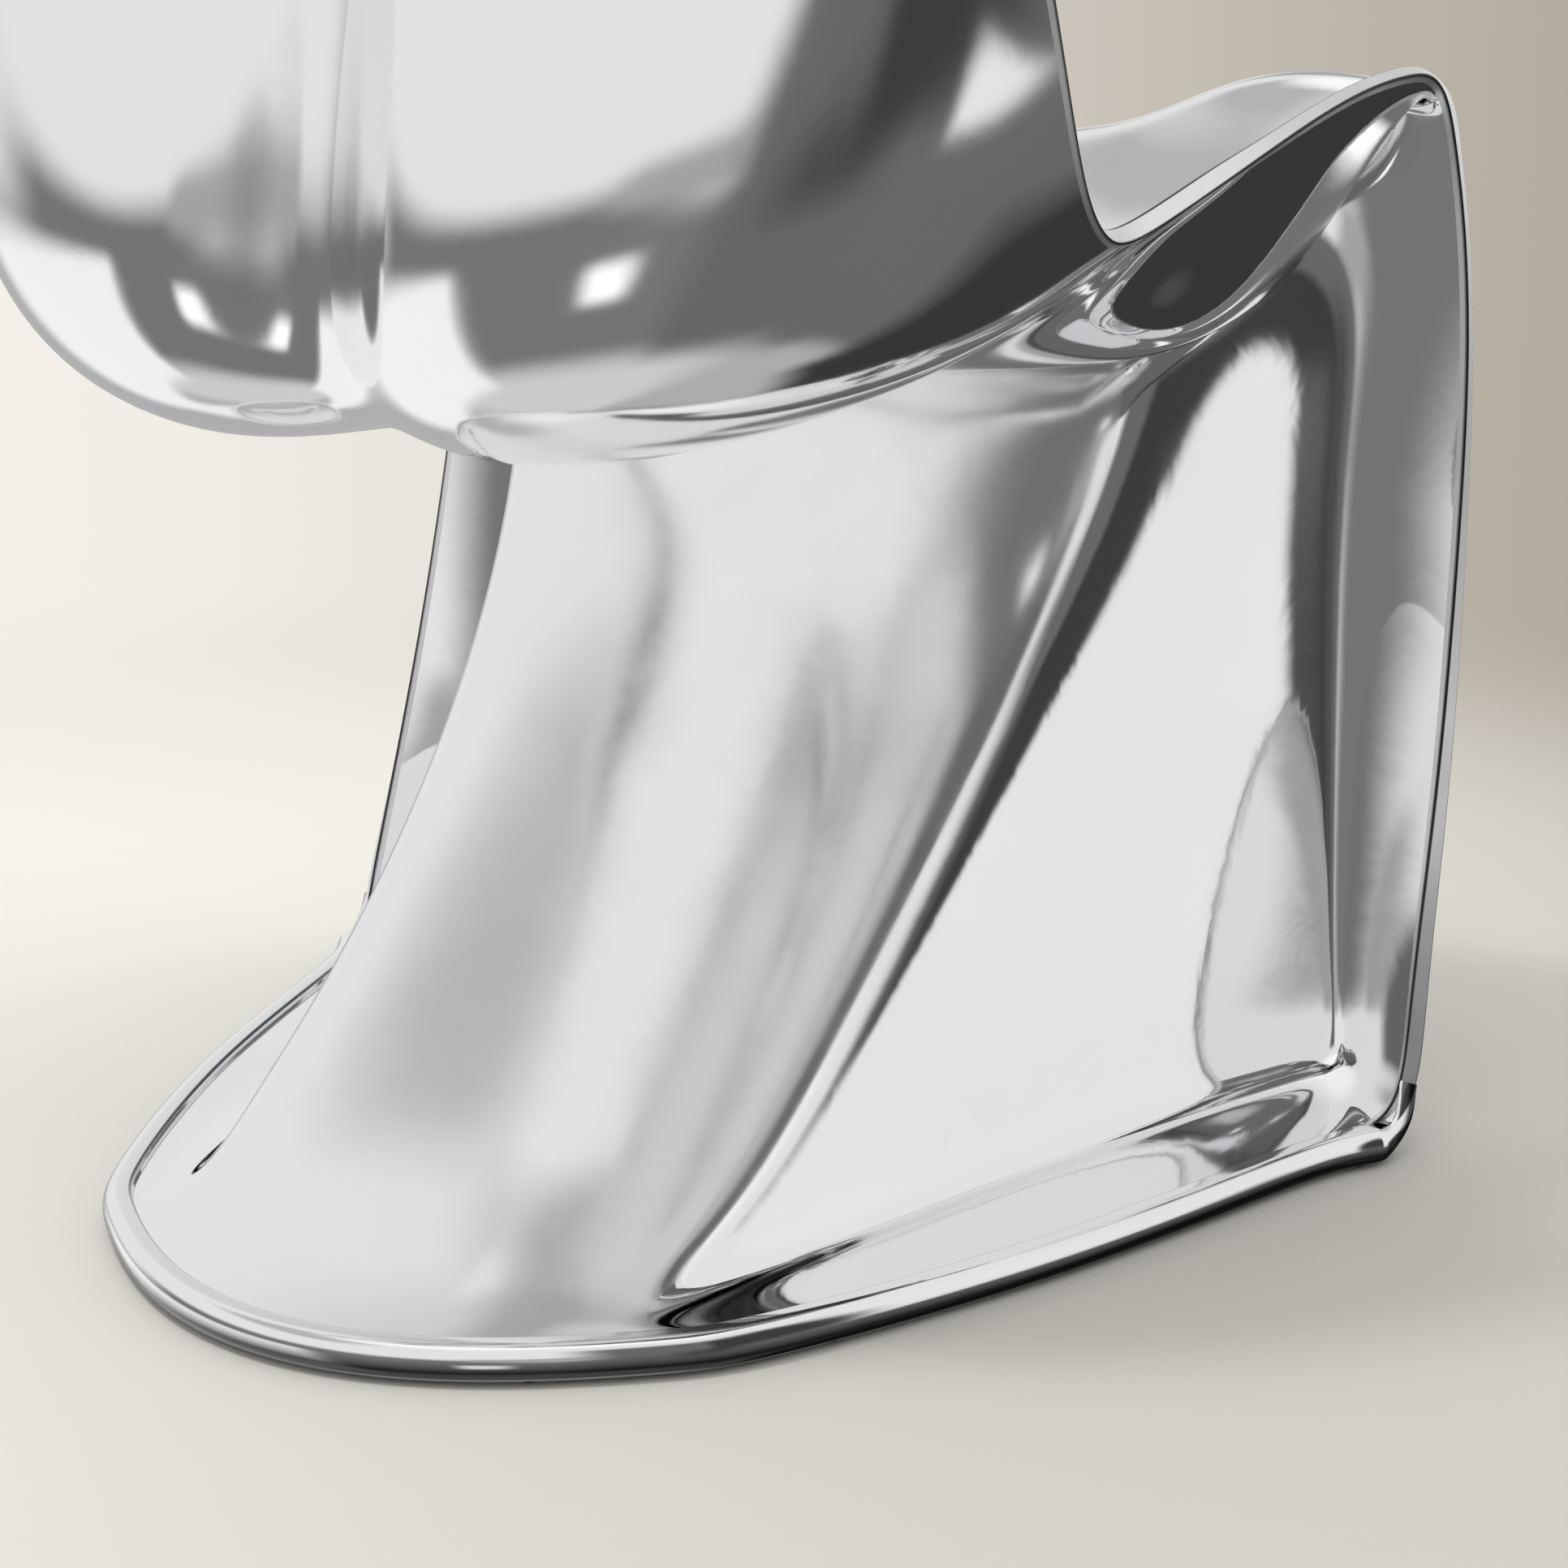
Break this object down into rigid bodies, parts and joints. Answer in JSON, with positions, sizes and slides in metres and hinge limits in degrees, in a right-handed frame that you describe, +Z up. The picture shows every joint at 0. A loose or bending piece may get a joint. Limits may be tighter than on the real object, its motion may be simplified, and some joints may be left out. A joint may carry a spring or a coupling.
{
  "type": "cantilever chair",
  "caption": "Mirror-polished one-ribbon cantilever chair with a body-shaped two-lobed seat, folded open leg and rounded U foot.",
  "frame": {"origin": "on the floor, in the middle of the chair's plan", "axes": "+Z up, the sitter looks along -Y, +X is the sitter's left"},
  "size_m": [0.578, 0.5291, 0.8724],
  "materials": {
    "polished_skin": "mirror polished",
    "polished_band": "mirror polished",
    "core": "bonded rigid core, not visible",
    "floor_plate": "brushed",
    "screw": "plain zinc plated",
    "insert": "plain",
    "glide": "matte black"
  },
  "bodies": {
    "root": {"back_rear_skin": "polished_skin", "back_front_skin": "polished_skin", "seat_under_skin": "polished_skin", "seat_top_skin": "polished_skin", "front_lip_skin": "polished_skin", "leg_rear_skin": "polished_skin", "leg_front_skin": "polished_skin", "left_lobe_skin": "polished_skin", "right_lobe_skin": "polished_skin", "left_flank_skin": "polished_skin", "right_flank_skin": "polished_skin", "left_flange_skin": "polished_skin", "right_flange_skin": "polished_skin", "left_foot_flange": "polished_skin", "right_foot_flange": "polished_skin", "left_leg_inner_skin": "polished_skin", "right_leg_inner_skin": "polished_skin", "left_side_band": "polished_band", "right_side_band": "polished_band", "left_front_band": "polished_band", "right_front_band": "polished_band", "back_top_band": "polished_band", "foot_rail": "polished_band", "back_core": "core", "seat_core": "core", "front_lip_core": "core", "leg_core": "core", "left_leg_core": "core", "right_leg_core": "core", "left_floor_plate": "floor_plate", "right_floor_plate": "floor_plate", "rear_floor_plate": "floor_plate", "plate_screws": "screw", "threaded_inserts": "insert", "glides": "glide"}
  },
  "joints": []
}
